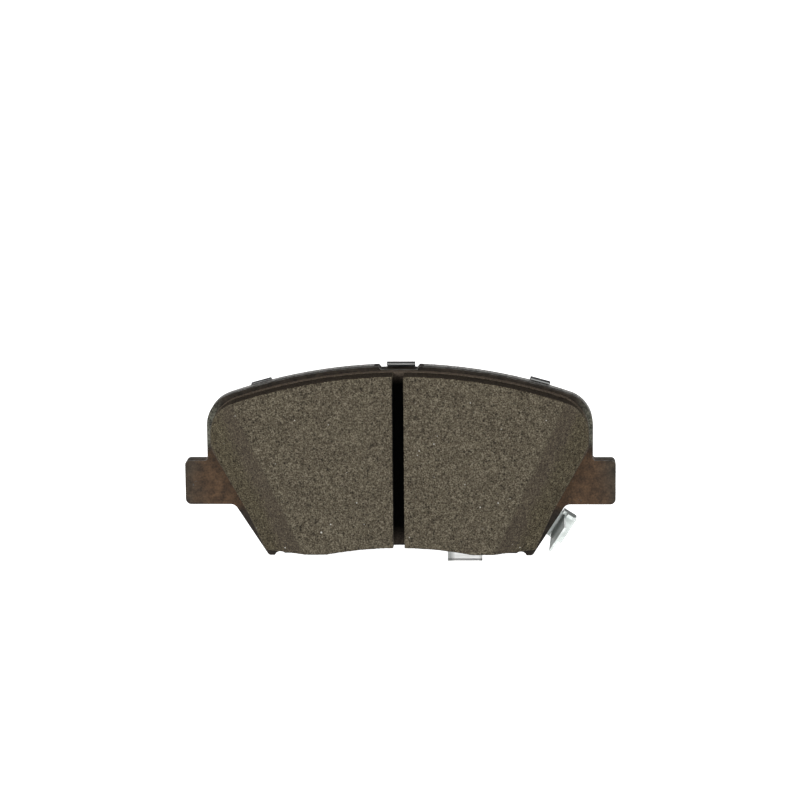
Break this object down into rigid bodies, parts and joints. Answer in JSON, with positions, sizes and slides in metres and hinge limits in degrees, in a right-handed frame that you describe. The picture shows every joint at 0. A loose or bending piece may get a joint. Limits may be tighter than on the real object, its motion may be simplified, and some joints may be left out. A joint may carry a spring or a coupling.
{
  "type": "disc brake pad",
  "caption": "Disc brake pad: eared steel plate, chamfered lining split by a centre slot, layered tabbed shim on the back and a sprung wear indicator on one flank.",
  "frame": {"origin": "centre of the piston face on the back of the outer shim, at mid height between the plate's arc top and its lower nibs", "axes": "+X from ear to ear towards the wear indicator, +Z outward along the wheel radius, -Y towards the disc"},
  "size_m": [0.138, 0.0178, 0.0655],
  "materials": {
    "plate_paint": "satin black coating with a brown heat tint",
    "bond_film": "cured phenolic adhesive, matt",
    "underlayer": "moulded underlayer compound, matt",
    "lining": "moulded friction compound, rough and speckled",
    "shim_steel": "thin steel sheet with a dark satin coating outside, bare inside and on the cut edges",
    "shim_rubber": "thin damping rubber",
    "shim_core": "coated steel sheet, matt",
    "shim_adhesive": "pressure-sensitive adhesive film",
    "indicator_zinc": "bright zinc-coated spring steel"
  },
  "bodies": {
    "root": {"backing_plate": "plate_paint", "bond_film": "bond_film", "underlayer": "underlayer", "friction_left": "lining", "friction_right": "lining", "outer_shim": "shim_steel", "shim_rubber": "shim_rubber", "inner_shim": "shim_core", "shim_adhesive": "shim_adhesive", "wear_indicator": "indicator_zinc", "indicator_rivet": "indicator_zinc"}
  },
  "joints": []
}
